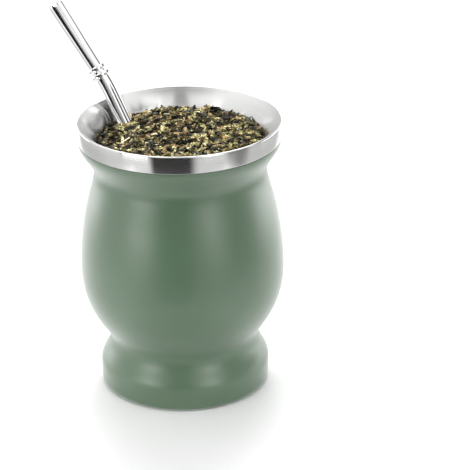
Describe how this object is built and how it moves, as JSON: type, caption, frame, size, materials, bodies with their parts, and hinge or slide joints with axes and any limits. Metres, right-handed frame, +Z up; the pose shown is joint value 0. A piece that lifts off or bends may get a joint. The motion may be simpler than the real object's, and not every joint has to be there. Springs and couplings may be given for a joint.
{
  "type": "mate cup with tea and drinking tube",
  "caption": "Waisted double-wall mate cup in sage green with a bare steel rim, filled with loose tea leaves, a ringed steel drinking tube leaning in it.",
  "frame": {"origin": "centre of the cup's flat base, on the surface it stands on", "axes": "+Z up along the cup's turned axis; the picture looks along +Y from the front, and the drinking tube leans over the rim towards -X and +Y"},
  "size_m": [0.0923, 0.0818, 0.1484],
  "materials": {
    "sage_coat": "fine satin powder coat, sage green",
    "brushed_steel": "bare stainless steel, brushed round the axis",
    "dry_tea": "dry curled tea leaves, olive to dark brown",
    "polished_steel": "polished stainless steel"
  },
  "bodies": {
    "root": {"coated_body": "sage_coat", "steel_liner": "brushed_steel", "tea_leaves": "dry_tea", "drinking_tube": "polished_steel", "lower_tube_ring": "polished_steel", "upper_tube_ring": "polished_steel"}
  },
  "joints": []
}
